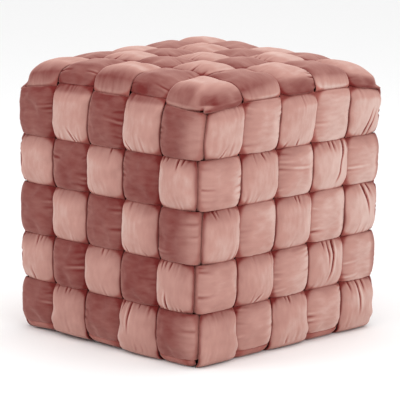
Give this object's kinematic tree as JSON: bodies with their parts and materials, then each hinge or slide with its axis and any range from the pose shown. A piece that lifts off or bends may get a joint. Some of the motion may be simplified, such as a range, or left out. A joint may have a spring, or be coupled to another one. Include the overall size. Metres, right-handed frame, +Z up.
{
  "type": "velvet ottoman",
  "caption": "Cube ottoman of padded velvet straps and bands, woven over and under one another on all sides and the top.",
  "frame": {"origin": "middle of the underside, on the ground", "axes": "+Z up; -Y the front, +X the right side; the straps named fb run along Y over the top, those named lr along X"},
  "size_m": [0.42, 0.42, 0.436],
  "materials": {
    "base_cover": "matt woven cover",
    "strap_velvet": "short-pile velvet, soft sheen",
    "band_velvet": "short-pile velvet, soft sheen"
  },
  "bodies": {
    "root": {"seat_block": "base_cover", "strap_fb_1": "strap_velvet", "strap_fb_2": "strap_velvet", "strap_fb_3": "strap_velvet", "strap_fb_4": "strap_velvet", "strap_fb_5": "strap_velvet", "strap_lr_1": "strap_velvet", "strap_lr_2": "strap_velvet", "strap_lr_3": "strap_velvet", "strap_lr_4": "strap_velvet", "strap_lr_5": "strap_velvet", "band_1": "band_velvet", "band_2": "band_velvet", "band_3": "band_velvet", "band_4": "band_velvet", "band_5": "band_velvet"}
  },
  "joints": []
}
